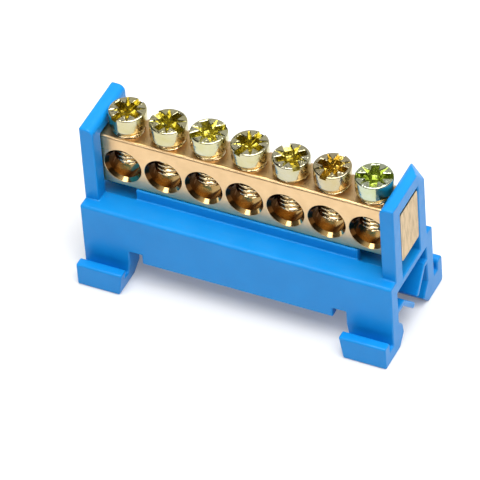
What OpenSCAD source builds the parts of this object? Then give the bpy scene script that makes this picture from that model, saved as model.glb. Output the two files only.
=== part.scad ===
// Neutral terminal bar: a brass bar with seven clamp screws in a moulded clip-on carrier.
// Lengths in mm, +Z up, the bar lies along X, wires enter along Y, the feet stand on Z = 0.

/* [Terminal bar] */
// Distance from one wire hole to the next
way_pitch = 6.55; // [6.35:0.05:8]
// Depth of the bar from front face to rear face
bar_depth = 6; // [5.7:0.1:6.4]
// Height of the bar
bar_height = 9; // [8.4:0.1:10]
// Rounding along the four long edges of the bar
bar_edge_round = 0.45; // [0.2:0.05:0.6]
// How far each bar end stays inside the carrier end
bar_end_setback = 0.1; // [0:0.05:0.5]
// Diameter of the wire holes
wire_bore = 5; // [4.4:0.1:5.2]
// Diameter of the countersinks at the mouths of the wire holes
wire_sink = 6.1; // [5.6:0.1:6.2]
// Height of the wire hole axis above the bottom of the bar
wire_axis = 3.95; // [3.7:0.05:4.3]

/* [Clamp screws] */
// Diameter of the screw shank
screw_shank = 4.9; // [4:0.1:5]
// Radial running clearance of the shank in the bar
screw_clearance = 0.05; // [0.02:0.01:0.1]
// Length of the shank under the head
screw_length = 6.4; // [5.9:0.1:6.9]
// Bevel at the end of the shank
screw_tip_bevel = 0.5; // [0.2:0.1:0.8]
// Diameter of the screw head
head_diameter = 5.7; // [5.4:0.05:6]
// Height of the screw head
head_height = 2.75; // [2.4:0.05:3.1]
// Rounding at the top rim of the head
head_top_round = 0.25; // [0.1:0.05:0.4]
// Rounding at the underside of the head
head_seat_round = 0.4; // [0.1:0.05:0.5]
// Width of the straight slot across the head
slot_width = 1.1; // [0.8:0.1:1.3]
// Depth of the straight slot in the middle of the head
slot_depth = 1.2; // [0.9:0.1:1.4]
// Depth of the straight slot at the rim of the head
slot_rim_depth = 0.5; // [0.3:0.05:0.7]
// Span of the cross recess
cross_span = 4.7; // [3.6:0.1:5]
// Width of the cross recess arms
cross_width = 1.2; // [0.9:0.1:1.4]
// Depth of the cross recess arms
cross_depth = 1.5; // [1.1:0.1:1.7]
// Diameter of the cup in the middle of the recess
cup_diameter = 3.2; // [2.4:0.1:3.6]
// Depth of the cup
cup_depth = 1.9; // [1.6:0.1:2.1]
// Distance from the screw axis to the deep end of the tick marks
tick_start = 1.1; // [0.9:0.1:1.4]
// Depth of the tick marks at their deep end
tick_depth = 0.5; // [0.3:0.05:0.6]
// Depth of the tick marks at the rim of the head
tick_rim_depth = 0.1; // [0.05:0.05:0.2]
// Gap under head 1
gap_1 = 0.95; // [0.2:0.05:1.2]
// Gap under head 2
gap_2 = 0.7; // [0.2:0.05:1.2]
// Gap under head 3
gap_3 = 0.95; // [0.2:0.05:1.2]
// Gap under head 4
gap_4 = 0.8; // [0.2:0.05:1.2]
// Gap under head 5
gap_5 = 0.35; // [0.2:0.05:1.2]
// Gap under head 6
gap_6 = 0.65; // [0.2:0.05:1.2]
// Gap under head 7
gap_7 = 0.85; // [0.2:0.05:1.2]
// Turn of slot 1 about the screw axis
turn_1 = 69; // [0:1:179]
// Turn of slot 2 about the screw axis
turn_2 = 156; // [0:1:179]
// Turn of slot 3 about the screw axis
turn_3 = 42; // [0:1:179]
// Turn of slot 4 about the screw axis
turn_4 = 73; // [0:1:179]
// Turn of slot 5 about the screw axis
turn_5 = 130; // [0:1:179]
// Turn of slot 6 about the screw axis
turn_6 = 84; // [0:1:179]
// Turn of slot 7 about the screw axis
turn_7 = 19; // [0:1:179]

/* [Carrier body] */
// Distance from the axis of the last way to the carrier end
end_margin = 5.35; // [5.25:0.05:7]
// Depth of the body over the two side walls
body_depth = 14.9; // [14.4:0.1:16]
// Thickness of the side walls
side_wall = 1.5; // [1.2:0.1:1.7]
// Height of the deck above the foot soles
stand_height = 13.3; // [12.8:0.1:15]
// Depth of the side walls below the deck
side_height = 8.6; // [8:0.1:9.2]
// Thickness of the deck
deck = 2.45; // [2.2:0.05:3]
// Depth of the trough under the bar
trough_depth = 1.2; // [0.8:0.05:1.4]
// Height of the ribs that carry the bar, above the deck
rib_height = 1.75; // [1.2:0.05:2.4]
// Thickness of the ribs
rib_thickness = 1.2; // [0.8:0.1:1.6]
// Open length between each rib end and the end plate
rib_end_gap = 4.95; // [4:0.05:6]

/* [End plates] */
// Thickness of the end plates
plate_thickness = 2.25; // [1.8:0.05:2.35]
// Depth of the end plates
plate_depth = 11.2; // [10:0.1:13]
// Height of the end plates above the deck
plate_height = 13.6; // [12.6:0.1:15]
// Rounding of the inner top edge of the plates
plate_round = 1.1; // [0.4:0.1:1.5]
// Depth of the bevel at the rear outer corner of the right plate
plate_cut_depth = 2.8; // [0.5:0.1:4]
// Height of the bevel at the rear outer corner of the right plate
plate_cut_height = 3; // [0.5:0.1:4]
// Gap between bar and window on each side
window_side_gap = 0.15; // [0.05:0.05:0.3]
// Gap between bar top and window top
window_top_gap = 0.45; // [0.2:0.05:0.8]

/* [Clip feet] */
// Width of each foot along the bar
foot_width = 7.5; // [6:0.1:9]
// How far the inner end of each foot is raked back at the sole
foot_rake = 0.6; // [0.2:0.1:1.5]
// Height of the raked part of each foot
foot_rake_height = 4; // [2:0.1:4.4]
// Thickness of the leg of each foot
leg_thickness = 2.25; // [1.8:0.05:2.5]
// How far the lip stands out from the side wall
lip_reach = 2.95; // [2.5:0.05:3.4]
// Thickness of the lip
lip_thickness = 1.65; // [1.55:0.05:2]
// Height of the front lips above the sole
front_lip_height = 4; // [3.5:0.1:4.4]
// Height of the rear lips above the sole
rear_lip_height = 5.1; // [3.5:0.1:5.4]
// Depth of the groove between lip and leg
lip_groove = 1.8; // [0.6:0.1:2.2]
// Rounding of the upper edges of the front lips
front_lip_round = 0.35; // [0.2:0.05:0.8]
// Rounding of the upper edges of the rear lips
rear_lip_round = 0.75; // [0.2:0.05:0.8]
// Rounding of the lower edges of the front lips
front_sole_round = 0.35; // [0.1:0.05:0.8]
// Rounding of the lower edges of the rear lips
rear_sole_round = 0.75; // [0.1:0.05:0.8]
// How far the nose reaches inwards from the leg
nose_reach = 1.55; // [1.2:0.05:2]
// Height of the front noses where they leave the leg
front_nose_height = 5.05; // [4.6:0.05:5.6]
// Height of the rear noses where they leave the leg
rear_nose_height = 4.1; // [3.7:0.05:5.6]
// How far the upper edge of the nose lies below the place where it leaves the leg
nose_fall = 1.5; // [1:0.05:1.6]
// How far the upper edge of the nose lies behind its tip
nose_back = 0.3; // [0.1:0.05:0.6]
// Height of the widest point of the nose
nose_tip_height = 1.85; // [1.4:0.05:2.4]
// Length of the lead-in bevel under the nose
nose_lead = 1.6; // [1:0.1:2.2]
// Width of the relief notch beside each foot
notch_width = 2.1; // [1.5:0.1:3]
// Height of the relief notch beside each foot
notch_height = 1.7; // [1:0.1:2.4]

/* [Spring tongues] */
// Thickness of the tongues
tongue_thickness = 0.9; // [0.7:0.05:1.1]
// Height of the front tongue root above the sole
front_tongue_height = 7.65; // [7.3:0.05:8.2]
// Level run of the front tongue before it bends down
front_tongue_level = 2.1; // [1.6:0.1:2.5]
// Downward slope of the front tongue in degrees
front_tongue_slope = 46; // [40:1:49]
// How far the tips of the front tongues reach past the middle
front_tongue_past = 0.6; // [0:0.05:0.7]
// Height of the rear tongue root above the sole
rear_tongue_height = 8.5; // [8.1:0.05:8.9]
// Level run of the rear tongue before it bends down
rear_tongue_level = 1.15; // [0.9:0.05:1.6]
// Downward slope of the rear tongue in degrees
rear_tongue_slope = 54; // [48:1:56]
// How far the tips of the rear tongues stay behind the middle
rear_tongue_short = 1.15; // [0.9:0.05:1.6]

/* [Hidden] */
$fn = 96;
ways = 7;
over = 1;
sink = 0.02;
half_ways = (ways - 1) / 2;
body_length = (ways - 1) * way_pitch + 2 * end_margin;
half_length = body_length / 2;
half_depth = body_depth / 2;
bar_length = body_length - 2 * bar_end_setback;
bar_base = stand_height + rib_height;
bar_top = bar_base + bar_height;
wire_height = bar_base + wire_axis;
sink_depth = (wire_sink - wire_bore) / 2;
screw_bore = screw_shank + 2 * screw_clearance;
trough_floor = stand_height - trough_depth;
trough_width = bar_depth + 2 * window_side_gap;
rib_length = body_length - 2 * (plate_thickness + rib_end_gap);
plate_top = stand_height + plate_height;
window_top = bar_top + window_top_gap;
deck_under = stand_height - deck;
wall_bottom = stand_height - side_height;
foot_inner = half_length - foot_width;
leg_inner = half_depth - leg_thickness;
nose_tip = leg_inner - nose_reach;
lip_outer = half_depth + lip_reach;
lip_inner = lip_outer - lip_thickness;
slot_rise = slot_depth - slot_rim_depth;
slot_sweep = (pow(head_diameter / 2, 2) + pow(slot_rise, 2)) / (2 * slot_rise);
tick_rise = atan((tick_depth - tick_rim_depth) / (head_diameter / 2 - tick_start));
gaps = [gap_1, gap_2, gap_3, gap_4, gap_5, gap_6, gap_7];
turns = [turn_1, turn_2, turn_3, turn_4, turn_5, turn_6, turn_7];

function way_x(i) = (i - 1 - half_ways) * way_pitch;

// Extrudes a profile drawn in Y and Z along X, from x to x + length.
module along_x(x, length) {
    translate([x, 0, 0])
        rotate([90, 0, 90])
            linear_extrude(height = length)
                children();
}

// Copies the children to the other end of the carrier.
module both_ends() {
    children();
    mirror([1, 0, 0])
        children();
}

// Rectangle from corner a to corner b with all four corners rounded.
module rounded_rect(a, b, r) {
    translate([a[0] + r, a[1]])
        square([b[0] - a[0] - 2 * r, b[1] - a[1]]);
    translate([a[0], a[1] + r])
        square([b[0] - a[0], b[1] - a[1] - 2 * r]);
    for (y = [a[0] + r, b[0] - r])
        for (z = [a[1] + r, b[1] - r])
            translate([y, z])
                circle(r = r);
}

// One clip foot in section: leg, groove, lip and nose.
module foot_profile(lip_height, nose_height, lip_round, sole_round) {
    groove = lip_height - lip_groove;
    polygon([
        [half_depth, deck_under + sink],
        [half_depth, groove],
        [lip_inner + sink, groove],
        [lip_inner + sink, 0],
        [nose_tip + nose_lead, 0],
        [nose_tip, nose_tip_height],
        [nose_tip + nose_back, nose_height - nose_fall],
        [leg_inner, nose_height],
        [leg_inner, deck_under + sink]
    ]);
    rounded_rect([lip_inner, groove - lip_round], [lip_outer, lip_height], lip_round);
    difference() {
        rounded_rect([lip_inner - lip_thickness, 0], [lip_outer, lip_height], sole_round);
        translate([lip_inner - 2 * lip_thickness, groove])
            square([3 * lip_thickness, lip_height]);
    }
}

// One spring tongue in section, level at the root and then bent down.
module tongue_profile(height, level, slope, tip) {
    bend = leg_inner - level;
    end_height = height - (bend - tip) * tan(slope);
    under = bend + tongue_thickness * tan(slope / 2);
    polygon([
        [leg_inner + sink, height],
        [bend, height],
        [tip, end_height],
        [tip + tongue_thickness * sin(slope), end_height - tongue_thickness * cos(slope)],
        [under, height - tongue_thickness],
        [leg_inner + sink, height - tongue_thickness]
    ]);
}

module front_tongue_profile() {
    tongue_profile(front_tongue_height, front_tongue_level, front_tongue_slope, -front_tongue_past);
}

module rear_tongue_profile() {
    tongue_profile(rear_tongue_height, rear_tongue_level, rear_tongue_slope, rear_tongue_short);
}

// Wedge that rakes back the inner end of a foot towards the sole.
module foot_rake_cut() {
    slip = foot_rake * over / foot_rake_height;
    translate([0, lip_outer + over, 0])
        rotate([90, 0, 0])
            linear_extrude(height = lip_outer - nose_tip + 1.5 * over)
                polygon([
                    [foot_inner - over, -over],
                    [foot_inner + foot_rake + slip, -over],
                    [foot_inner, foot_rake_height],
                    [foot_inner - over, foot_rake_height]
                ]);
}

// Upright plate at one end with the inner top edge rounded and the window for the bar.
module end_plate() {
    inner = half_length - plate_thickness;
    difference() {
        translate([inner, -plate_depth / 2, deck_under])
            cube([plate_thickness, plate_depth, plate_top - deck_under]);
        difference() {
            translate([inner - over, -plate_depth, plate_top - plate_round])
                cube([over + plate_round, 2 * plate_depth, plate_round + over]);
            translate([inner + plate_round, 0, plate_top - plate_round])
                rotate([90, 0, 0])
                    cylinder(r = plate_round, h = 3 * plate_depth, center = true);
        }
    }
}

// Bevel that takes the rear outer corner off the right plate.
module plate_cut() {
    translate([half_length, plate_depth / 2, plate_top])
        polyhedron(
            points = [
                [-plate_thickness, 0, 0],
                [0, -plate_cut_depth, 0],
                [0, 0, -plate_cut_height],
                [over, over, over]
            ],
            faces = [
                [0, 1, 2],
                [0, 3, 1],
                [1, 3, 2],
                [2, 3, 0]
            ]
        );
}

module carrier_solid() {
    translate([-half_length, -half_depth, deck_under])
        cube([body_length, body_depth, deck]);
    for (side = [0, 1])
        mirror([0, side, 0]) {
            translate([-half_length, half_depth - side_wall, wall_bottom])
                cube([body_length, side_wall, side_height - deck / 2]);
            translate([-rib_length / 2, trough_width / 2 - rib_thickness, trough_floor - sink])
                cube([rib_length, rib_thickness, trough_depth + sink + rib_height]);
        }
    both_ends() {
        end_plate();
        along_x(foot_inner, foot_width) {
            foot_profile(rear_lip_height, rear_nose_height, rear_lip_round, rear_sole_round);
            rear_tongue_profile();
            mirror([1, 0]) {
                foot_profile(front_lip_height, front_nose_height, front_lip_round, front_sole_round);
                front_tongue_profile();
            }
        }
    }
}

module carrier() {
    color([0.1, 0.42, 0.78])
        difference() {
            carrier_solid();
            difference() {
                translate([-half_length - over, -trough_width / 2, trough_floor])
                    cube([body_length + 2 * over, trough_width, window_top - trough_floor]);
                for (side = [0, 1])
                    mirror([0, side, 0])
                        translate([-rib_length / 2, trough_width / 2 - rib_thickness, trough_floor - over])
                            cube([rib_length, rib_thickness + over, trough_depth + over + rib_height]);
            }
            both_ends()
                for (side = [0, 1])
                    mirror([0, side, 0]) {
                        foot_rake_cut();
                        translate([foot_inner - notch_width, half_depth - 2 * side_wall, wall_bottom - over])
                            cube([notch_width, 3 * side_wall, over + notch_height]);
                    }
            plate_cut();
        }
}

// Through hole for a wire, countersunk at both mouths.
module wire_hole() {
    cylinder(d = wire_bore, h = bar_depth + 2 * over, center = true);
    for (side = [0, 1])
        mirror([0, 0, side])
            translate([0, 0, bar_depth / 2 - sink_depth])
                cylinder(d1 = wire_bore, d2 = wire_sink + 2 * over, h = sink_depth + over);
}

// Hole for a clamp screw, as deep as the screw goes with its head on the bar.
module screw_hole() {
    grip = screw_length - screw_tip_bevel;
    end_bore = screw_bore - 2 * screw_tip_bevel;
    translate([0, 0, -grip])
        cylinder(d = screw_bore, h = grip + over);
    translate([0, 0, -screw_length - screw_clearance])
        cylinder(d1 = end_bore, d2 = screw_bore, h = screw_tip_bevel + screw_clearance);
}

module busbar() {
    color([0.86, 0.66, 0.38])
        difference() {
            along_x(-bar_length / 2, bar_length)
                rounded_rect([-bar_depth / 2, bar_base], [bar_depth / 2, bar_top], bar_edge_round);
            for (i = [1 : ways]) {
                translate([way_x(i), 0, wire_height])
                    rotate([90, 0, 0])
                        wire_hole();
                translate([way_x(i), 0, bar_top])
                    screw_hole();
            }
        }
}

// Half section of a clamp screw with the underside of its head at zero.
module screw_profile() {
    shank = screw_shank / 2;
    rim = head_diameter / 2;
    seat = rim - head_seat_round;
    crown = rim - head_top_round;
    polygon([
        [0, -screw_length],
        [shank - screw_tip_bevel, -screw_length],
        [shank, screw_tip_bevel - screw_length],
        [shank, 0],
        [seat, 0],
        [seat, head_seat_round],
        [rim, head_seat_round],
        [rim, head_height - head_top_round],
        [crown, head_height - head_top_round],
        [crown, head_height],
        [0, head_height]
    ]);
    translate([seat, head_seat_round])
        circle(r = head_seat_round);
    translate([crown, head_height - head_top_round])
        circle(r = head_top_round);
}

// Slot with a curved floor, cross, cup and the four tick marks sunk into the top of the head.
module drive_recess() {
    translate([0, 0, slot_sweep - slot_depth])
        rotate([90, 0, 0])
            cylinder(r = slot_sweep, h = slot_width, center = true);
    for (turn = [0, 90])
        rotate([0, 0, turn])
            translate([-cross_span / 2, -cross_width / 2, -cross_depth])
                cube([cross_span, cross_width, cross_depth + over]);
    translate([0, 0, -cup_depth])
        cylinder(d1 = cup_diameter - cup_depth, d2 = cup_diameter + over, h = cup_depth + over);
    for (turn = [45 : 90 : 315])
        rotate([0, 0, turn])
            translate([tick_start, 0, -tick_depth])
                rotate([0, -tick_rise, 0])
                    rotate([45, 0, 0])
                        cube([head_diameter, over, over]);
}

// One clamp screw, head up, with its slot turned as it stands in the bar.
module clamp_screw(i) {
    color([0.8, 0.7, 0.3])
        translate([way_x(i), 0, bar_top + gaps[i - 1]])
            rotate([0, 0, turns[i - 1]])
                difference() {
                    rotate_extrude()
                        screw_profile();
                    translate([0, 0, head_height])
                        drive_recess();
                }
}

carrier();
busbar();
clamp_screw(1);  // clamp_screw_1
clamp_screw(2);  // clamp_screw_2
clamp_screw(3);  // clamp_screw_3
clamp_screw(4);  // clamp_screw_4
clamp_screw(5);  // clamp_screw_5
clamp_screw(6);  // clamp_screw_6
clamp_screw(7);  // clamp_screw_7
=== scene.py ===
"""Looks of the neutral terminal bar: blue moulded carrier, brass bar and yellow zinc clamp screws."""
import math

import bmesh
import bpy
from mathutils import Matrix, Vector


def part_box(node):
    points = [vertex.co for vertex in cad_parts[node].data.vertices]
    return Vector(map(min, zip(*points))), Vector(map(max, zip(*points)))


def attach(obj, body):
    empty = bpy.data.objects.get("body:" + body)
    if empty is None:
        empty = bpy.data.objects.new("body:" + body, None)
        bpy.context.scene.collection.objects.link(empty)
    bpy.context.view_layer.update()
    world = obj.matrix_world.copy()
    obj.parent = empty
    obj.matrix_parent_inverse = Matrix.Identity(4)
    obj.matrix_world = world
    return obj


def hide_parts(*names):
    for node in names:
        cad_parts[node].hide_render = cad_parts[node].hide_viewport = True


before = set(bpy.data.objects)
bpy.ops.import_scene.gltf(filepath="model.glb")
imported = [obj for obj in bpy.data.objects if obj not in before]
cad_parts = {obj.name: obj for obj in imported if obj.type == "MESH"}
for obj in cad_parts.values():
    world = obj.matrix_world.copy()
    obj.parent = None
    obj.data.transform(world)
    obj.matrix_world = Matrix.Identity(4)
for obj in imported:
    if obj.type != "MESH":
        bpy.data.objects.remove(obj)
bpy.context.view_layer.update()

MM = 0.001

# Camera, read from the photograph's perspective
CAMERA_AZIMUTH = math.radians(27.857)
CAMERA_ELEVATION = math.radians(42.733)
CAMERA_ROLL = math.radians(4.387)
CAMERA_DISTANCE = 788.8 * MM
CAMERA_AIM = Vector((-1.095, -3.229, 10.764)) * MM
CAMERA_LENS = 404.5
CAMERA_SENSOR = 36.0
CAMERA_NEAR = 0.01

# Floor, and the point that the soft boxes look at
FLOOR_HALF = 3.0
FLOOR_GREY = 0.74
FLOOR_ROUGHNESS = 0.9
FLOOR_GLOW = 0.17
LIGHT_AIM = Vector((0, 0, 15 * MM))

# Sky light by the Z of a direction, and the light that the rear adds as the Y of a direction grows
SKY_STOPS = ((0.1, (0.12, 0.12, 0.12)), (0.4, (0.05, 0.05, 0.05)))
REAR_START = 0.35
REAR_END = 0.6
REAR_LIGHT = 0.56

# Span that most noise values lie in, which colours and roughness are spread over
NOISE_LOW = 0.3
NOISE_HIGH = 0.7

# Blue moulding, with a faint orange peel and a fine grain
BLUE_DEEP = (0.003, 0.235, 0.64)
BLUE_PALE = (0.004, 0.26, 0.69)
BLUE_ROUGHNESS = (0.3, 0.4)
BLUE_SPECULAR = 0.29
PEEL_DEPTH = 0.006 * MM
GRAIN_DEPTH = 0.002 * MM

# Rounding of the carrier's square edges, wider on the edges that run its whole length
SQUARE_ANGLE = 70
EDGE_ROUND = 0.26 * MM
LONG_EDGE_ROUND = 0.55 * MM
LONG_EDGE = 40 * MM

# Joining of a solid's triangles, and the angles in degrees that its curved faces are smoothed up to
WELD_DISTANCE = 0.002 * MM
FLAT_ANGLE = 0.5
CARRIER_SMOOTH_ANGLE = 32
BAR_SMOOTH_ANGLE = 30
SCREW_SMOOTH_ANGLE = 40

# Brass bar: drawn faces, and sawn ends that a thin layer in millimetres tells apart
DRAWN_DEEP = (0.66, 0.445, 0.23)
DRAWN_PALE = (0.78, 0.54, 0.29)
DRAWN_ROUGHNESS = (0.27, 0.36)
DRAWN_LINE_DEPTH = 0.003 * MM
DRAWN_WAVE_DEPTH = 0.004 * MM
SAWN_STOPS = ((0.35, (0.39, 0.27, 0.13)), (0.6, (0.58, 0.42, 0.225)))
SAWN_LAYER = 0.05

# Wire holes of the bar in millimetres, with painted shade inside them, near black at their upper left, and a
# painted highlight at their lower right
WAY_PITCH = 6.55
WIRE_HEIGHT = 19.0
WIRE_SINK_RADIUS = 3.0
HOLE_SHADE_LEAN = 0.6
HOLE_SHADE_START = 1.5
HOLE_SHADE_SPAN = 4.0
HOLE_SHADE_STOPS = ((0.0, (0.04, 0.015, 0.004)), (0.5, (0.11, 0.048, 0.012)), (1.0, (0.85, 0.56, 0.22)))
BORED_ROUGHNESS = 0.14

# Clamp screws, M5: shank, with the crest and flank of the thread as shares of the pitch
SCREW_COUNT = 7
SHANK_RADIUS = 2.45 * MM
SHANK_OVERLAP = 0.3 * MM
SHANK_SEGMENTS = 72
THREAD_DEPTH = 0.42 * MM
THREAD_PITCH = 0.8 * MM
THREAD_HALF_CREST = 0.08
THREAD_FLANK = 0.34
THREAD_ROWS = 14
TIP_BEVEL = 0.5 * MM

# Head of the screws
HEAD_RADIUS = 2.85 * MM
HEAD_HEIGHT = 2.75 * MM
HEAD_TOP_ROUND = 0.25 * MM
HEAD_TOP_STEPS = 5
HEAD_SEAT_ROUND = 0.4 * MM
HEAD_SEAT_STEPS = 6
HEAD_SEGMENTS = 96

# Drive recess: a slot with a curved floor, a tapered cross, a cup and four wedge marks
SLOT_WIDTH = 1.1 * MM
SLOT_DEPTH = 1.2 * MM
SLOT_RIM_DEPTH = 0.5 * MM
SLOT_STEPS = 24
CROSS_SPAN = 4.7 * MM
CROSS_WIDTH = 1.2 * MM
CROSS_DEPTH = 1.6 * MM
CROSS_TAPER = 0.14 * MM
CROSS_END_TAPER = 4 * CROSS_TAPER
CUP_RADIUS = 1.5 * MM
CUP_FLOOR_RADIUS = 0.45 * CUP_RADIUS
CUP_DEPTH = 2.05 * MM
CUP_FLARE = 0.4
CUP_SEGMENTS = 48
TICK_INNER = 0.75 * MM
TICK_DEPTH = 0.85 * MM
TICK_RISE = TICK_DEPTH
TICK_HALF_WIDTH = 0.5 * MM
TICK_END = 2.7 * MM
TICK_END_DEPTH = 0.1 * MM
TICK_END_RISE = 2 * TICK_END_DEPTH
TICK_END_HALF_WIDTH = 0.1 * MM
TICK_KEEL = 0.001 * MM
TICK_TURNS = (45, 135, 225, 315)
EDGE_BREAK = 0.1 * MM
CUT_CLEAR = 0.4 * MM
CUT_REACH = 1.3 * HEAD_RADIUS
CUT_RISE = 3 * CUT_CLEAR

# Edges that the cuts leave: very short ones are joined, straight ones made whole, long ones rounded
SHORT_EDGE = 0.006 * MM
STRAIGHT_ANGLE = 175
HEAD_EDGE_ANGLE = 28
HEAD_EDGE_ROUND = 0.04 * MM
HEAD_LONG_EDGE = 0.6 * MM

# How each screw is turned in the photograph, in degrees
SCREW_TURNS = (69, 156, 42, 73, 130, 84, 19)

# Chromate film of each screw, thin on the outside and thick in the drive recess, and the shank's colour,
# which paints the brass-coloured light reflected onto it inside the wire hole
SCREW_TINTS = (
    ((0.58, 0.54, 0.36), (0.50, 0.42, 0.09)),
    ((0.57, 0.53, 0.33), (0.48, 0.42, 0.09)),
    ((0.58, 0.56, 0.38), (0.54, 0.49, 0.14)),
    ((0.57, 0.53, 0.35), (0.50, 0.43, 0.09)),
    ((0.53, 0.50, 0.36), (0.49, 0.42, 0.10)),
    ((0.53, 0.465, 0.31), (0.49, 0.36, 0.08)),
    ((0.53, 0.57, 0.42), (0.40, 0.46, 0.13)),
)
SHANK_PAINTED_REFLECTION = (0.78, 0.60, 0.34)
FILM_START = 0.35
FILM_DRIFT = 0.4
NOISE_STEP = 7.0
ZINC_ROUGHNESS = (0.12, 0.24)
RECESS_ROUGHNESS = 0.24
SPECK_DEPTH = 0.004 * MM
DENT_DEPTH = 0.18 * MM
TOP_DENT_STRENGTH = 1.0
SIDE_DENT_STRENGTH = 0.3

# Margins of the parts of a screw that are told apart by place, in millimetres
HEAD_RIM = 0.15
SLOT_MARGIN = 0.05
SHANK_MARGIN = 0.02


def feed(tree, socket, entry):
    """Gives a socket its entry, which is another socket or a constant."""
    if isinstance(entry, bpy.types.NodeSocket):
        tree.links.new(entry, socket)
    else:
        socket.default_value = entry


def material_base(name):
    """A new node material, its tree, its principled shader and the position counted in millimetres."""
    material = bpy.data.materials.new(name)
    material.use_nodes = True
    tree = material.node_tree
    shader = tree.nodes["Principled BSDF"]
    coordinates = tree.nodes.new("ShaderNodeTexCoord")
    mapping = tree.nodes.new("ShaderNodeMapping")
    mapping.inputs["Scale"].default_value = (1 / MM, 1 / MM, 1 / MM)
    tree.links.new(coordinates.outputs["Object"], mapping.inputs["Vector"])
    return material, tree, shader, mapping.outputs["Vector"]


def noise(tree, position, scale, detail, stretch=(1, 1, 1), offset=(0, 0, 0)):
    """Noise value with scale in cells a millimetre, stretched along the axes."""
    mapping = tree.nodes.new("ShaderNodeMapping")
    mapping.inputs["Scale"].default_value = stretch
    mapping.inputs["Location"].default_value = offset
    texture = tree.nodes.new("ShaderNodeTexNoise")
    texture.inputs["Scale"].default_value = scale
    texture.inputs["Detail"].default_value = detail
    tree.links.new(position, mapping.inputs["Vector"])
    tree.links.new(mapping.outputs["Vector"], texture.inputs["Vector"])
    return texture.outputs["Fac"]


def ramp(tree, value, stops):
    """Colour ramp over a value, with stops of (place, colour)."""
    node = tree.nodes.new("ShaderNodeValToRGB")
    elements = node.color_ramp.elements
    while len(elements) < len(stops):
        elements.new(1.0)
    for element, (place, colour) in zip(elements, stops):
        element.position = place
        element.color = (*colour, 1)
    tree.links.new(value, node.inputs["Fac"])
    return node.outputs["Color"]


def map_range(tree, value, from_low, from_high, to_low, to_high):
    """Maps a value from one range onto another and stops at its ends."""
    node = tree.nodes.new("ShaderNodeMapRange")
    node.inputs["From Min"].default_value = from_low
    node.inputs["From Max"].default_value = from_high
    node.inputs["To Min"].default_value = to_low
    node.inputs["To Max"].default_value = to_high
    tree.links.new(value, node.inputs["Value"])
    return node.outputs["Result"]


def spread(tree, value, low, high):
    """Maps a noise value onto the range from low to high."""
    return map_range(tree, value, NOISE_LOW, NOISE_HIGH, low, high)


def bump(tree, shader, value, depth, strength, below=None):
    """Bumps the surface by a value, depth in metres, on top of another bump."""
    node = tree.nodes.new("ShaderNodeBump")
    node.inputs["Distance"].default_value = depth
    feed(tree, node.inputs["Strength"], strength)
    tree.links.new(value, node.inputs["Height"])
    if below is not None:
        tree.links.new(below, node.inputs["Normal"])
    tree.links.new(node.outputs["Normal"], shader.inputs["Normal"])
    return node.outputs["Normal"]


def blend(tree, kind, factor, first, second):
    """Mixes two colours or two values by a factor; each is a socket or a constant."""
    node = tree.nodes.new("ShaderNodeMix")
    node.data_type = kind
    sockets = [socket for socket in node.inputs if socket.enabled]
    for socket, entry in zip(sockets, (factor, first, second)):
        feed(tree, socket, entry)
    return [socket for socket in node.outputs if socket.enabled][0]


def calculate(tree, operation, *operands):
    """Result of a maths node; each operand is a socket or a number."""
    node = tree.nodes.new("ShaderNodeMath")
    node.operation = operation
    for socket, entry in zip(node.inputs, operands):
        feed(tree, socket, entry)
    return node.outputs["Value"]


def split_axis(tree, vector, axis):
    """One axis of a vector."""
    node = tree.nodes.new("ShaderNodeSeparateXYZ")
    tree.links.new(vector, node.inputs["Vector"])
    return node.outputs[axis]


def inside_circle(tree, first, second, radius):
    """One where two coordinates lie within a radius of zero."""
    squares = [calculate(tree, "MULTIPLY", part, part) for part in (first, second)]
    return calculate(tree, "LESS_THAN", calculate(tree, "ADD", *squares), radius ** 2)


def blue_plastic():
    """Moulded polyamide: saturated blue, satin gloss, faint flow clouds and mould grain."""
    material, tree, shader, position = material_base("blue_plastic")
    clouds = noise(tree, position, scale=0.18, detail=4.0)
    colour = ramp(tree, clouds, ((NOISE_LOW, BLUE_DEEP), (NOISE_HIGH, BLUE_PALE)))
    patches = noise(tree, position, scale=0.7, detail=4.0)
    feed(tree, shader.inputs["Base Color"], colour)
    feed(tree, shader.inputs["Roughness"], spread(tree, patches, *BLUE_ROUGHNESS))
    feed(tree, shader.inputs["Specular IOR Level"], BLUE_SPECULAR)
    peel = bump(tree, shader, noise(tree, position, scale=1.3, detail=2.0), PEEL_DEPTH, strength=0.5)
    grain = noise(tree, position, scale=9.0, detail=2.0)
    bump(tree, shader, grain, GRAIN_DEPTH, strength=0.4, below=peel)
    return material


def bar_ends(tree, position):
    """One on the end faces of the bar."""
    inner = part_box("busbar")[1].x / MM - SAWN_LAYER
    away = calculate(tree, "ABSOLUTE", split_axis(tree, position, "X"))
    return calculate(tree, "GREATER_THAN", away, inner)


def hole_places(tree, position):
    """One inside the wire holes, and a painted shade value that runs from dark at their upper left to light
    at their lower right side.
    """
    along = split_axis(tree, position, "X")
    last = (SCREW_COUNT - 1) / 2
    nearest = calculate(tree, "ROUND", calculate(tree, "DIVIDE", along, WAY_PITCH))
    way = calculate(tree, "MINIMUM", calculate(tree, "MAXIMUM", nearest, -last), last)
    across = calculate(tree, "SUBTRACT", along, calculate(tree, "MULTIPLY", way, WAY_PITCH))
    above = calculate(tree, "SUBTRACT", split_axis(tree, position, "Z"), WIRE_HEIGHT)
    inside = inside_circle(tree, across, above, WIRE_SINK_RADIUS)
    lower_right = calculate(tree, "SUBTRACT", calculate(tree, "MULTIPLY", across, HOLE_SHADE_LEAN), above)
    shade = calculate(tree, "DIVIDE", calculate(tree, "ADD", lower_right, HOLE_SHADE_START), HOLE_SHADE_SPAN)
    return inside, shade


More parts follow.
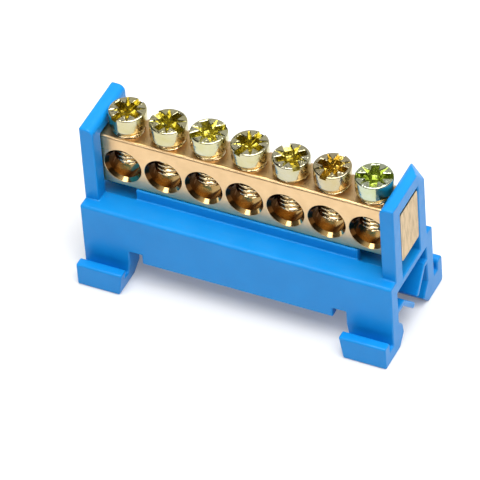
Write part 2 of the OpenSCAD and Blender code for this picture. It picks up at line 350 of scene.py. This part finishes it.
def brass():
    """Drawn brass bar: satin pale gold with fine lines along the bar, sawn ends, and wire holes painted with
    shade, near black at their upper left, and with a painted highlight at their lower right.
    """
    material, tree, shader, position = material_base("brass")
    stains = noise(tree, position, scale=0.35, detail=5.0)
    drawn = ramp(tree, stains, ((NOISE_LOW, DRAWN_DEEP), (NOISE_HIGH, DRAWN_PALE)))
    cuts = noise(tree, position, scale=2.2, detail=5.0, stretch=(1, 1, 0.2))
    sawn = ramp(tree, cuts, SAWN_STOPS)
    outside = blend(tree, "RGBA", bar_ends(tree, position), drawn, sawn)
    holes, shade = hole_places(tree, position)
    # Painted shade and a painted highlight inside the wire holes: dark at the upper left, bright at the lower
    # right
    painted_hole_shade = ramp(tree, shade, HOLE_SHADE_STOPS)
    feed(tree, shader.inputs["Base Color"], blend(tree, "RGBA", holes, outside, painted_hole_shade))
    feed(tree, shader.inputs["Metallic"], 1.0)
    lines = noise(tree, position, scale=5.0, detail=4.0, stretch=(0.04, 1, 1))
    satin = spread(tree, lines, *DRAWN_ROUGHNESS)
    feed(tree, shader.inputs["Roughness"], blend(tree, "FLOAT", holes, satin, BORED_ROUGHNESS))
    grooves = bump(tree, shader, lines, DRAWN_LINE_DEPTH, strength=0.5)
    waves = noise(tree, position, scale=1.6, detail=3.0)
    bump(tree, shader, waves, DRAWN_WAVE_DEPTH, strength=0.3, below=grooves)
    return material


def screw_zones(tree, position):
    """Masks of a screw: the drive recess, the recess with the flat of the head, and the shank."""
    x, y, height = (split_axis(tree, position, axis) for axis in "XYZ")
    near = inside_circle(tree, x, y, HEAD_RADIUS / MM - HEAD_RIM)
    above = calculate(tree, "GREATER_THAN", height, HEAD_SEAT_ROUND / MM)
    inner = calculate(tree, "MULTIPLY", near, above)
    along = calculate(tree, "LESS_THAN", calculate(tree, "ABSOLUTE", y), SLOT_WIDTH / MM / 2)
    slot_floor = (HEAD_HEIGHT - SLOT_RIM_DEPTH) / MM - SLOT_MARGIN
    slot = calculate(tree, "MULTIPLY", along, calculate(tree, "GREATER_THAN", height, slot_floor))
    below = calculate(tree, "LESS_THAN", height, (HEAD_HEIGHT - EDGE_BREAK) / MM)
    recess = calculate(tree, "MULTIPLY", below, calculate(tree, "MAXIMUM", inner, slot))
    return recess, inner, calculate(tree, "LESS_THAN", height, -SHANK_MARGIN)


def yellow_zinc(name, pale, deep, offset):
    """Bright zinc with a yellow chromate film that drifts in tint and lies thicker in the drive recess, and a
    shank coloured with a painted reflection of brass-coloured light.
    """
    material, tree, shader, position = material_base(name)
    film = noise(tree, position, scale=0.5, detail=3.0, offset=(offset, 0, 0))
    middle = [(1 - FILM_DRIFT) * p + FILM_DRIFT * d for p, d in zip(pale, deep)]
    outside = ramp(tree, film, ((FILM_START, pale), (NOISE_HIGH, middle)))
    recess, inner, shank = screw_zones(tree, position)
    head = blend(tree, "RGBA", recess, outside, (*deep, 1))
    # The shank's colour is a painted reflection of the brass-coloured light inside the wire hole
    feed(tree, shader.inputs["Base Color"], blend(tree, "RGBA", shank, head, (*SHANK_PAINTED_REFLECTION, 1)))
    feed(tree, shader.inputs["Metallic"], 1.0)
    specks = noise(tree, position, scale=4.0, detail=4.0, offset=(0, offset, 0))
    polish = spread(tree, specks, *ZINC_ROUGHNESS)
    feed(tree, shader.inputs["Roughness"], blend(tree, "FLOAT", recess, polish, RECESS_ROUGHNESS))
    waves = noise(tree, position, scale=1.4, detail=1.0, offset=(0, 0, offset))
    strength = blend(tree, "FLOAT", inner, SIDE_DENT_STRENGTH, TOP_DENT_STRENGTH)
    dents = bump(tree, shader, waves, DENT_DEPTH, strength)
    bump(tree, shader, specks, SPECK_DEPTH, strength=0.3, below=dents)
    return material


def mesh_object(name, mesh):
    """Links a mesh to the scene as a new object."""
    piece = bpy.data.objects.new(name, mesh)
    bpy.context.scene.collection.objects.link(piece)
    return piece


def finished_mesh(name, shape):
    """Mesh of a shape that is done."""
    mesh = bpy.data.meshes.new(name)
    shape.to_mesh(mesh)
    shape.free()
    return mesh


def skin(name, rings, low, high):
    """Closed mesh over rings of points, ended by points on the axis at a low and a high height."""
    shape = bmesh.new()
    loops = [[shape.verts.new(point) for point in ring] for ring in rings]
    first = shape.verts.new((0, 0, low))
    last = shape.verts.new((0, 0, high))
    count = len(loops[0])
    for step in range(count):
        ahead = (step + 1) % count
        shape.faces.new((first, loops[0][ahead], loops[0][step]))
        shape.faces.new((last, loops[-1][step], loops[-1][ahead]))
        for below, above in zip(loops, loops[1:]):
            shape.faces.new((below[step], below[ahead], above[ahead], above[step]))
    return finished_mesh(name, shape)


def revolve(points, segments):
    """Closed mesh of a profile of (radius, height) points turned about Z; the end points lie on the axis."""
    rings = []
    for radius, height in points[1:-1]:
        angles = [2 * math.pi * step / segments for step in range(segments)]
        rings.append([(radius * math.cos(angle), radius * math.sin(angle), height) for angle in angles])
    return skin("revolved", rings, points[0][1], points[-1][1])


def arc(centre, radius, start, end, steps):
    """Points on an arc between two angles in degrees."""
    points = []
    for step in range(steps + 1):
        angle = math.radians(start + (end - start) * step / steps)
        points.append((centre[0] + radius * math.cos(angle), centre[1] + radius * math.sin(angle)))
    return points


def head_mesh():
    """Cylinder head with rounded edges, its underside at zero."""
    seat_centre = (HEAD_RADIUS - HEAD_SEAT_ROUND, HEAD_SEAT_ROUND)
    seat = arc(seat_centre, HEAD_SEAT_ROUND, -90, 0, HEAD_SEAT_STEPS)
    crown_centre = (HEAD_RADIUS - HEAD_TOP_ROUND, HEAD_HEIGHT - HEAD_TOP_ROUND)
    crown = arc(crown_centre, HEAD_TOP_ROUND, 0, 90, HEAD_TOP_STEPS)
    return revolve([(0, 0)] + seat + crown + [(0, HEAD_HEIGHT)], HEAD_SEGMENTS)


def thread_radius(height, turn, length):
    """Radius of the thread at a height and a share of a turn, with a bevelled tip."""
    phase = (height / THREAD_PITCH - turn) % 1.0
    groove = min(1.0, max(0.0, (abs(phase - 0.5) - THREAD_HALF_CREST) / THREAD_FLANK))
    return min(SHANK_RADIUS - THREAD_DEPTH * groove, SHANK_RADIUS - TIP_BEVEL + (height + length))


def shank_mesh(length):
    """Threaded shank from the tip up into the head, as a helical surface on a grid."""
    rows = round((length + SHANK_OVERLAP) / THREAD_PITCH * THREAD_ROWS)
    rings = []
    for row in range(rows + 1):
        height = -length + (length + SHANK_OVERLAP) * row / rows
        ring = []
        for step in range(SHANK_SEGMENTS):
            turn = step / SHANK_SEGMENTS
            radius = thread_radius(height, turn, length)
            angle = 2 * math.pi * turn
            ring.append((radius * math.cos(angle), radius * math.sin(angle), height))
        rings.append(ring)
    return skin("shank", rings, -length, SHANK_OVERLAP)


def frustum(low_corners, high_corners):
    """Closed solid between two loops of as many points, anticlockwise as seen from the high loop's side."""
    shape = bmesh.new()
    low = [shape.verts.new(point) for point in low_corners]
    high = [shape.verts.new(point) for point in high_corners]
    shape.faces.new(list(reversed(low)))
    shape.faces.new(high)
    for step in range(len(low)):
        ahead = (step + 1) % len(low)
        shape.faces.new((low[step], low[ahead], high[ahead], high[step]))
    return finished_mesh("cutter", shape)


def rectangle(half_length, half_width, height):
    """Corners of a rectangle about the axis at a height."""
    return [
        (-half_length, -half_width, height),
        (half_length, -half_width, height),
        (half_length, half_width, height),
        (-half_length, half_width, height),
    ]


def edge_cutter(half_length, half_width, end_flare):
    """Solid that breaks the upper edges of a straight recess."""
    flare = EDGE_BREAK + CUT_CLEAR
    return frustum(
        rectangle(half_length, half_width, -EDGE_BREAK),
        rectangle(half_length + end_flare * flare, half_width + flare, CUT_CLEAR),
    )


def slot_cutter():
    """Solid that cuts the slot, whose floor is an arc that rises towards both ends."""
    rise = SLOT_DEPTH - SLOT_RIM_DEPTH
    sweep = (HEAD_RADIUS ** 2 + rise ** 2) / (2 * rise)
    half_angle = math.degrees(math.asin(CUT_REACH / sweep))
    floor = arc((0, sweep - SLOT_DEPTH), sweep, -90 - half_angle, -90 + half_angle, SLOT_STEPS)
    outline = floor + [(CUT_REACH, CUT_RISE), (-CUT_REACH, CUT_RISE)]
    sides = [[(x, side * SLOT_WIDTH / 2, z) for x, z in outline] for side in (1, -1)]
    return frustum(*sides)


def cross_cutter():
    """Solid that cuts two opposite arms of the cross, tapered towards the floor."""
    share = CUT_CLEAR / CROSS_DEPTH
    return frustum(
        rectangle(CROSS_SPAN / 2 - CROSS_END_TAPER, CROSS_WIDTH / 2 - CROSS_TAPER, -CROSS_DEPTH),
        rectangle(CROSS_SPAN / 2 + share * CROSS_END_TAPER, CROSS_WIDTH / 2 + share * CROSS_TAPER, CUT_CLEAR),
    )


def cup_cutter():
    """Solid that cuts the cup in the middle."""
    rim_radius = CUP_RADIUS + CUP_FLARE * (CUP_RADIUS / CUP_DEPTH) * CUT_CLEAR
    profile = [(0, -CUP_DEPTH), (CUP_FLOOR_RADIUS, -CUP_DEPTH), (rim_radius, CUT_CLEAR), (0, CUT_CLEAR)]
    return revolve(profile, CUP_SEGMENTS)


def tick_cutter():
    """Wedge that cuts a mark: it widens evenly from its keel and has its half widths at the head's top."""
    half_width = TICK_HALF_WIDTH * (1 + TICK_RISE / TICK_DEPTH)
    end_half_width = TICK_END_HALF_WIDTH * (1 + TICK_END_RISE / TICK_END_DEPTH)
    return frustum(
        [
            (TICK_INNER, 0, -TICK_DEPTH),
            (TICK_END, 0, -TICK_END_DEPTH),
            (TICK_END, TICK_KEEL, -TICK_END_DEPTH),
            (TICK_INNER, TICK_KEEL, -TICK_DEPTH),
        ],
        [
            (TICK_INNER, -half_width, TICK_RISE),
            (TICK_END, -end_half_width, TICK_END_RISE),
            (TICK_END, end_half_width, TICK_END_RISE),
            (TICK_INNER, half_width, TICK_RISE),
        ],
    )


def recess_cutters():
    """Solids that cut the drive recess, each with its turn in degrees and the head's top at zero."""
    slot_edge = edge_cutter(CUT_REACH, SLOT_WIDTH / 2, 0)
    cross = cross_cutter()
    cross_edge = edge_cutter(CROSS_SPAN / 2, CROSS_WIDTH / 2, 1)
    tick = tick_cutter()
    cutters = [(slot_cutter(), 0), (slot_edge, 0)]
    cutters += [(cross, 0), (cross, 90), (cross_edge, 0), (cross_edge, 90), (cup_cutter(), 0)]
    return cutters + [(tick, turn) for turn in TICK_TURNS]


def splits_edge(vert):
    """True where two open edges run on in a straight line."""
    away = [edge.other_vert(vert).co - vert.co for edge in vert.link_edges if edge.is_boundary]
    return len(away) == 2 and away[0].angle(away[1]) > math.radians(STRAIGHT_ANGLE)


def close_cuts(mesh):
    """Joins the very short edges that the cuts leave and takes out the points that split an edge."""
    shape = bmesh.new()
    shape.from_mesh(mesh)
    bmesh.ops.remove_doubles(shape, verts=shape.verts, dist=SHORT_EDGE)
    bmesh.ops.dissolve_verts(shape, verts=[vert for vert in shape.verts if splits_edge(vert)])
    shape.to_mesh(mesh)
    shape.free()


def screw_mesh(length):
    """One screw: the head joined with the shank, and the drive recess cut into it."""
    body = mesh_object("screw_body", head_mesh())
    tools = [(mesh_object("screw_shank", shank_mesh(length)), "UNION")]
    top = Matrix.Translation((0, 0, HEAD_HEIGHT))
    for cutter, turn in recess_cutters():
        tool = mesh_object("screw_cutter", cutter)
        tool.matrix_world = top @ Matrix.Rotation(math.radians(turn), 4, "Z")
        tools.append((tool, "DIFFERENCE"))
    for tool, operation in tools:
        modifier = body.modifiers.new("cut", "BOOLEAN")
        modifier.operation = operation
        modifier.solver = "EXACT"
        modifier.object = tool
    bpy.context.view_layer.update()
    mesh = bpy.data.meshes.new_from_object(body.evaluated_get(bpy.context.evaluated_depsgraph_get()))
    for tool, _ in tools:
        bpy.data.objects.remove(tool)
    bpy.data.objects.remove(body)
    close_cuts(mesh)
    return mesh


def modifier_nodes(name):
    """An empty node tree for a modifier, with its geometry input and output."""
    tree = bpy.data.node_groups.new(name, "GeometryNodeTree")
    for direction in ("INPUT", "OUTPUT"):
        tree.interface.new_socket("Geometry", in_out=direction, socket_type="NodeSocketGeometry")
    start = tree.nodes.new("NodeGroupInput").outputs["Geometry"]
    end = tree.nodes.new("NodeGroupOutput").inputs["Geometry"]
    return tree, start, end


def sharp_edges(tree, angle):
    """One on the edges that fold by more than an angle in degrees."""
    fold = tree.nodes.new("GeometryNodeInputMeshEdgeAngle")
    return calculate(tree, "GREATER_THAN", fold.outputs["Unsigned Angle"], math.radians(angle))


def edge_length(tree):
    """Length of an edge."""
    corners = tree.nodes.new("GeometryNodeInputMeshEdgeVertices")
    distance = tree.nodes.new("ShaderNodeVectorMath")
    distance.operation = "DISTANCE"
    for socket, corner in zip(distance.inputs, ("Position 1", "Position 2")):
        tree.links.new(corners.outputs[corner], socket)
    return distance.outputs["Value"]


def weight_nodes(angle, length, short_weight):
    """Modifier nodes that weigh the edges over an angle: those over a length in full, the others less."""
    tree, start, end = modifier_nodes("edge_weights")
    is_long = calculate(tree, "GREATER_THAN", edge_length(tree), length)
    share = map_range(tree, is_long, 0.0, 1.0, short_weight, 1.0)
    store = tree.nodes.new("GeometryNodeStoreNamedAttribute")
    store.domain = "EDGE"
    store.inputs["Name"].default_value = "bevel_weight_edge"
    tree.links.new(start, store.inputs["Geometry"])
    tree.links.new(calculate(tree, "MULTIPLY", share, sharp_edges(tree, angle)), store.inputs["Value"])
    tree.links.new(store.outputs["Geometry"], end)
    return tree


def shading_nodes(angle):
    """Modifier nodes that shade faces smooth and keep the edges over an angle sharp."""
    tree, start, end = modifier_nodes("shading")
    smooth = tree.nodes.new("GeometryNodeSetShadeSmooth")
    sharp = tree.nodes.new("GeometryNodeSetShadeSmooth")
    sharp.domain = "EDGE"
    sharp.inputs["Shade Smooth"].default_value = False
    tree.links.new(start, smooth.inputs["Geometry"])
    tree.links.new(smooth.outputs["Geometry"], sharp.inputs["Geometry"])
    tree.links.new(sharp_edges(tree, angle), sharp.inputs["Selection"])
    tree.links.new(sharp.outputs["Geometry"], end)
    return tree


def round_edges(piece, angle, long_edge, long_width, short_width, segments):
    """Rounds the edges of a piece over an angle in degrees, by one width if long and another if short."""
    weights = piece.modifiers.new("weights", "NODES")
    weights.node_group = weight_nodes(angle, long_edge, short_width / long_width)
    bevel = piece.modifiers.new("edges", "BEVEL")
    bevel.width = long_width
    bevel.segments = segments
    bevel.limit_method = "WEIGHT"
    bevel.use_clamp_overlap = False


def shade_curves(piece, angle):
    """Shades the curved faces of a piece smooth and its flat faces flat."""
    shading = piece.modifiers.new("shading", "NODES")
    shading.node_group = shading_nodes(angle)
    normals = piece.modifiers.new("normals", "WEIGHTED_NORMAL")
    normals.keep_sharp = True


def dress_node(name, material):
    """Gives a CAD node its material and joins the triangles of its flat faces."""
    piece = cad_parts[name]
    piece.data.materials.clear()
    piece.data.materials.append(material)
    weld = piece.modifiers.new("weld", "WELD")
    weld.merge_threshold = WELD_DISTANCE
    planar = piece.modifiers.new("planar", "DECIMATE")
    planar.decimate_type = "DISSOLVE"
    planar.angle_limit = math.radians(FLAT_ANGLE)
    return piece


def add_carrier():
    """The moulded carrier, with its square edges rounded off, most of all those of its whole length."""
    carrier = dress_node("carrier", blue_plastic())
    round_edges(carrier, SQUARE_ANGLE, LONG_EDGE, LONG_EDGE_ROUND, EDGE_ROUND, segments=4)
    shade_curves(carrier, CARRIER_SMOOTH_ANGLE)


def add_busbar():
    """The brass bar."""
    shade_curves(dress_node("busbar", brass()), BAR_SMOOTH_ANGLE)


def add_screws():
    """The seven clamp screws, each on its own body and turned as in the photograph."""
    low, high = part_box("clamp_screw_1")
    length = high.z - low.z - HEAD_HEIGHT
    mesh = screw_mesh(length)
    for index, (turn, (pale, deep)) in enumerate(zip(SCREW_TURNS, SCREW_TINTS), start=1):
        node = f"clamp_screw_{index}"
        low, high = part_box(node)
        piece = mesh_object(f"screw_{index}", mesh.copy())
        place = Vector(((low.x + high.x) / 2, (low.y + high.y) / 2, high.z - HEAD_HEIGHT))
        piece.matrix_world = Matrix.Translation(place) @ Matrix.Rotation(math.radians(turn), 4, "Z")
        piece.data.materials.append(yellow_zinc(f"yellow_zinc_{index}", pale, deep, NOISE_STEP * index))
        round_edges(piece, HEAD_EDGE_ANGLE, HEAD_LONG_EDGE, HEAD_EDGE_ROUND, 0.0, segments=2)
        shade_curves(piece, SCREW_SMOOTH_ANGLE)
        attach(piece, f"screw_{index}")
        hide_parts(node)


def add_floor():
    """White floor that keeps the shadow and shows a little lighter to the camera and in reflections."""
    mesh = bpy.data.meshes.new("floor")
    mesh.from_pydata(rectangle(FLOOR_HALF, FLOOR_HALF, 0), [], [(0, 1, 2, 3)])
    floor = mesh_object("floor", mesh)
    material = bpy.data.materials.new("floor")
    material.use_nodes = True
    tree = material.node_tree
    shader = tree.nodes["Principled BSDF"]
    shader.inputs["Base Color"].default_value = (FLOOR_GREY, FLOOR_GREY, FLOOR_GREY, 1)
    shader.inputs["Roughness"].default_value = FLOOR_ROUGHNESS
    shader.inputs["Specular IOR Level"].default_value = 0.0
    glow = tree.nodes.new("ShaderNodeEmission")
    path = tree.nodes.new("ShaderNodeLightPath")
    seen = path.outputs["Is Camera Ray"]
    for ray in ("Is Glossy Ray", "Is Transmission Ray"):
        seen = calculate(tree, "MAXIMUM", seen, path.outputs[ray])
    feed(tree, glow.inputs["Strength"], calculate(tree, "MULTIPLY", seen, FLOOR_GLOW))
    both = tree.nodes.new("ShaderNodeAddShader")
    tree.links.new(shader.outputs["BSDF"], both.inputs[0])
    tree.links.new(glow.outputs["Emission"], both.inputs[1])
    tree.links.new(both.outputs["Shader"], tree.nodes["Material Output"].inputs["Surface"])
    mesh.materials.append(material)


def add_area_light(name, direction, distance, width, height, power):
    """Soft box that looks at the object from a direction."""
    data = bpy.data.lights.new(name, "AREA")
    data.shape = "RECTANGLE"
    data.size = width
    data.size_y = height
    data.energy = power
    light = bpy.data.objects.new(name, data)
    bpy.context.scene.collection.objects.link(light)
    away = Vector(direction).normalized()
    along = (Vector((1, 0, 0)) - away.x * away).normalized()
    turn = Matrix((along, away.cross(along), away)).transposed().to_4x4()
    light.matrix_world = Matrix.Translation(LIGHT_AIM + distance * away) @ turn


def add_world():
    """Sky light: dim overhead, a little paler near the horizon and bright to the rear."""
    world = bpy.data.worlds.new("studio")
    bpy.context.scene.world = world
    world.use_nodes = True
    tree = world.node_tree
    direction = tree.nodes.new("ShaderNodeTexCoord").outputs["Generated"]
    sky = ramp(tree, split_axis(tree, direction, "Z"), SKY_STOPS)
    rear = map_range(tree, split_axis(tree, direction, "Y"), REAR_START, REAR_END, 0.0, REAR_LIGHT)
    total = tree.nodes.new("ShaderNodeMixRGB")
    total.blend_type = "ADD"
    total.inputs["Fac"].default_value = 1.0
    tree.links.new(sky, total.inputs["Color1"])
    tree.links.new(rear, total.inputs["Color2"])
    tree.links.new(total.outputs["Color"], tree.nodes["Background"].inputs["Color"])
    tree.nodes["Background"].inputs["Strength"].default_value = 1.0


def add_camera():
    """Camera at the photograph's viewing angle."""
    data = bpy.data.cameras.new("camera")
    data.sensor_width = CAMERA_SENSOR
    data.lens = CAMERA_LENS
    data.clip_start = CAMERA_NEAR
    camera = bpy.data.objects.new("camera", data)
    bpy.context.scene.collection.objects.link(camera)
    flat = math.cos(CAMERA_ELEVATION)
    back = Vector((
        math.sin(CAMERA_AZIMUTH) * flat,
        -math.cos(CAMERA_AZIMUTH) * flat,
        math.sin(CAMERA_ELEVATION),
    ))
    level = Vector((math.cos(CAMERA_AZIMUTH), math.sin(CAMERA_AZIMUTH), 0))
    upright = back.cross(level)
    right = math.cos(CAMERA_ROLL) * level - math.sin(CAMERA_ROLL) * upright
    up = math.sin(CAMERA_ROLL) * level + math.cos(CAMERA_ROLL) * upright
    turn = Matrix((right, up, back)).transposed().to_4x4()
    camera.matrix_world = Matrix.Translation(CAMERA_AIM + CAMERA_DISTANCE * back) @ turn
    bpy.context.scene.camera = camera


bpy.context.scene.view_settings.view_transform = "Standard"
add_camera()
add_world()
add_floor()
add_area_light("key", direction=(-0.45, -0.65, 0.61), distance=0.45, width=0.16, height=0.11, power=0.18)
add_area_light("strip", direction=(0.06, -0.72, 0.69), distance=0.5, width=0.6, height=0.06, power=0.05)
add_area_light("top", direction=(0.2, -0.1, 0.98), distance=0.5, width=0.54, height=0.56, power=5.2)
add_carrier()
add_busbar()
add_screws()
